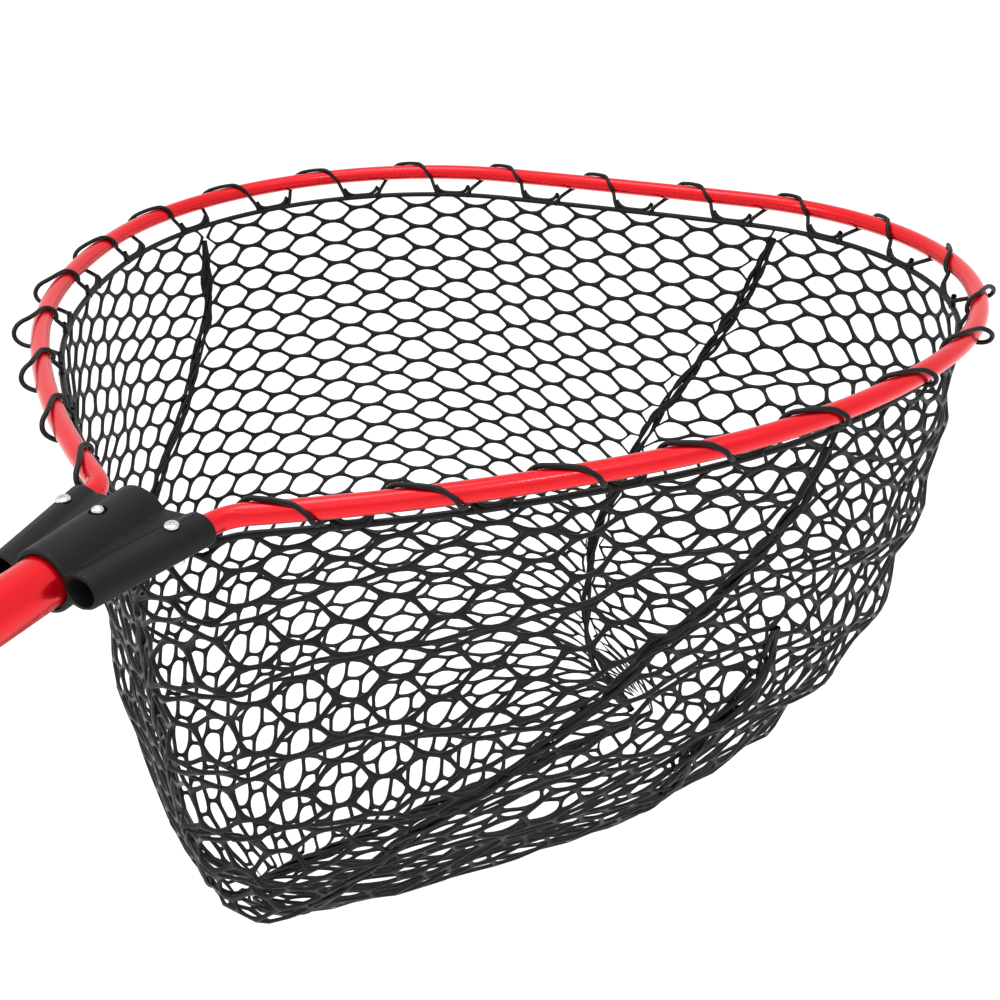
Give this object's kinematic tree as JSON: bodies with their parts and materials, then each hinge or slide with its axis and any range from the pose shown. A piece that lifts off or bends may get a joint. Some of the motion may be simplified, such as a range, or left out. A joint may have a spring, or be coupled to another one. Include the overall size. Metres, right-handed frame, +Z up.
{
  "type": "landing net",
  "caption": "Landing net with a pear-shaped tube hoop laced to a hanging netting bag, held in a moulded yoke on a telescopic handle with a twist lock.",
  "frame": {"origin": "on the handle's axis at the middle of the hand grip", "axes": "+X along the handle towards the hoop, +Y to the left, +Z up; the hoop lies in the plane Z = 0 and the bag hangs below it"},
  "size_m": [1.4096, 0.7032, 0.4075],
  "materials": {
    "red_anodised": "glossy bright red anodised tube",
    "black_plastic": "satin black moulded nylon with a fine grain",
    "net_rubber": "black rubber-coated knotless netting, slightly glossy",
    "grip_foam": "matt closed-cell foam",
    "bright_steel": "bright plated steel",
    "acetal": "natural acetal"
  },
  "bodies": {
    "grip": {"handle_rear_tube": "red_anodised", "grip_sleeve": "grip_foam", "grip_ring": "black_plastic", "butt_cap": "black_plastic", "lock_base": "black_plastic", "lock_collet": "acetal"},
    "lock_collar": {"lock_collar": "black_plastic"},
    "button": {"snap_button": "bright_steel"},
    "net_head": {"handle_front_tube": "red_anodised", "slide_bush": "black_plastic", "front_tube_plug": "black_plastic", "button_spring": "bright_steel", "yoke_body": "black_plastic", "hoop_screw_left": "bright_steel", "hoop_screw_right": "bright_steel", "hoop_nut_left": "bright_steel", "hoop_nut_right": "bright_steel", "hoop_tube": "red_anodised", "net_selvedge": "net_rubber", "net_panel_left": "net_rubber", "net_panel_front": "net_rubber", "net_panel_right": "net_rubber", "net_panel_near": "net_rubber", "seam_rear": "net_rubber", "seam_left": "net_rubber", "seam_front": "net_rubber", "seam_right": "net_rubber", "seam_keel": "net_rubber", "lacing_loop_01": "net_rubber", "lacing_loop_02": "net_rubber", "lacing_loop_03": "net_rubber", "lacing_loop_04": "net_rubber", "lacing_loop_05": "net_rubber", "lacing_loop_06": "net_rubber", "lacing_loop_07": "net_rubber", "lacing_loop_08": "net_rubber", "lacing_loop_09": "net_rubber", "lacing_loop_10": "net_rubber", "lacing_loop_11": "net_rubber", "lacing_loop_12": "net_rubber", "lacing_loop_13": "net_rubber", "lacing_loop_14": "net_rubber", "lacing_loop_15": "net_rubber", "lacing_loop_16": "net_rubber", "lacing_loop_17": "net_rubber", "lacing_loop_18": "net_rubber", "lacing_loop_19": "net_rubber", "lacing_loop_20": "net_rubber", "lacing_loop_21": "net_rubber", "lacing_loop_22": "net_rubber", "lacing_loop_23": "net_rubber", "lacing_loop_24": "net_rubber"}
  },
  "joints": [
    {"name": "handle_extend", "type": "slide", "parent": "grip", "child": "net_head", "axis": [1, 0, 0], "range_m": [0, 0.4]},
    {"name": "lock_twist", "type": "hinge", "parent": "grip", "child": "lock_collar", "pos_m": [0.39, 0, 0], "axis": [1, 0, 0], "range_deg": [0, 150]},
    {"name": "button_press", "type": "slide", "parent": "net_head", "child": "button", "axis": [0, 0, -1], "range_m": [0, 0.0058], "stiffness_N_per_m": 900, "deforming": ["button_spring"]}
  ]
}
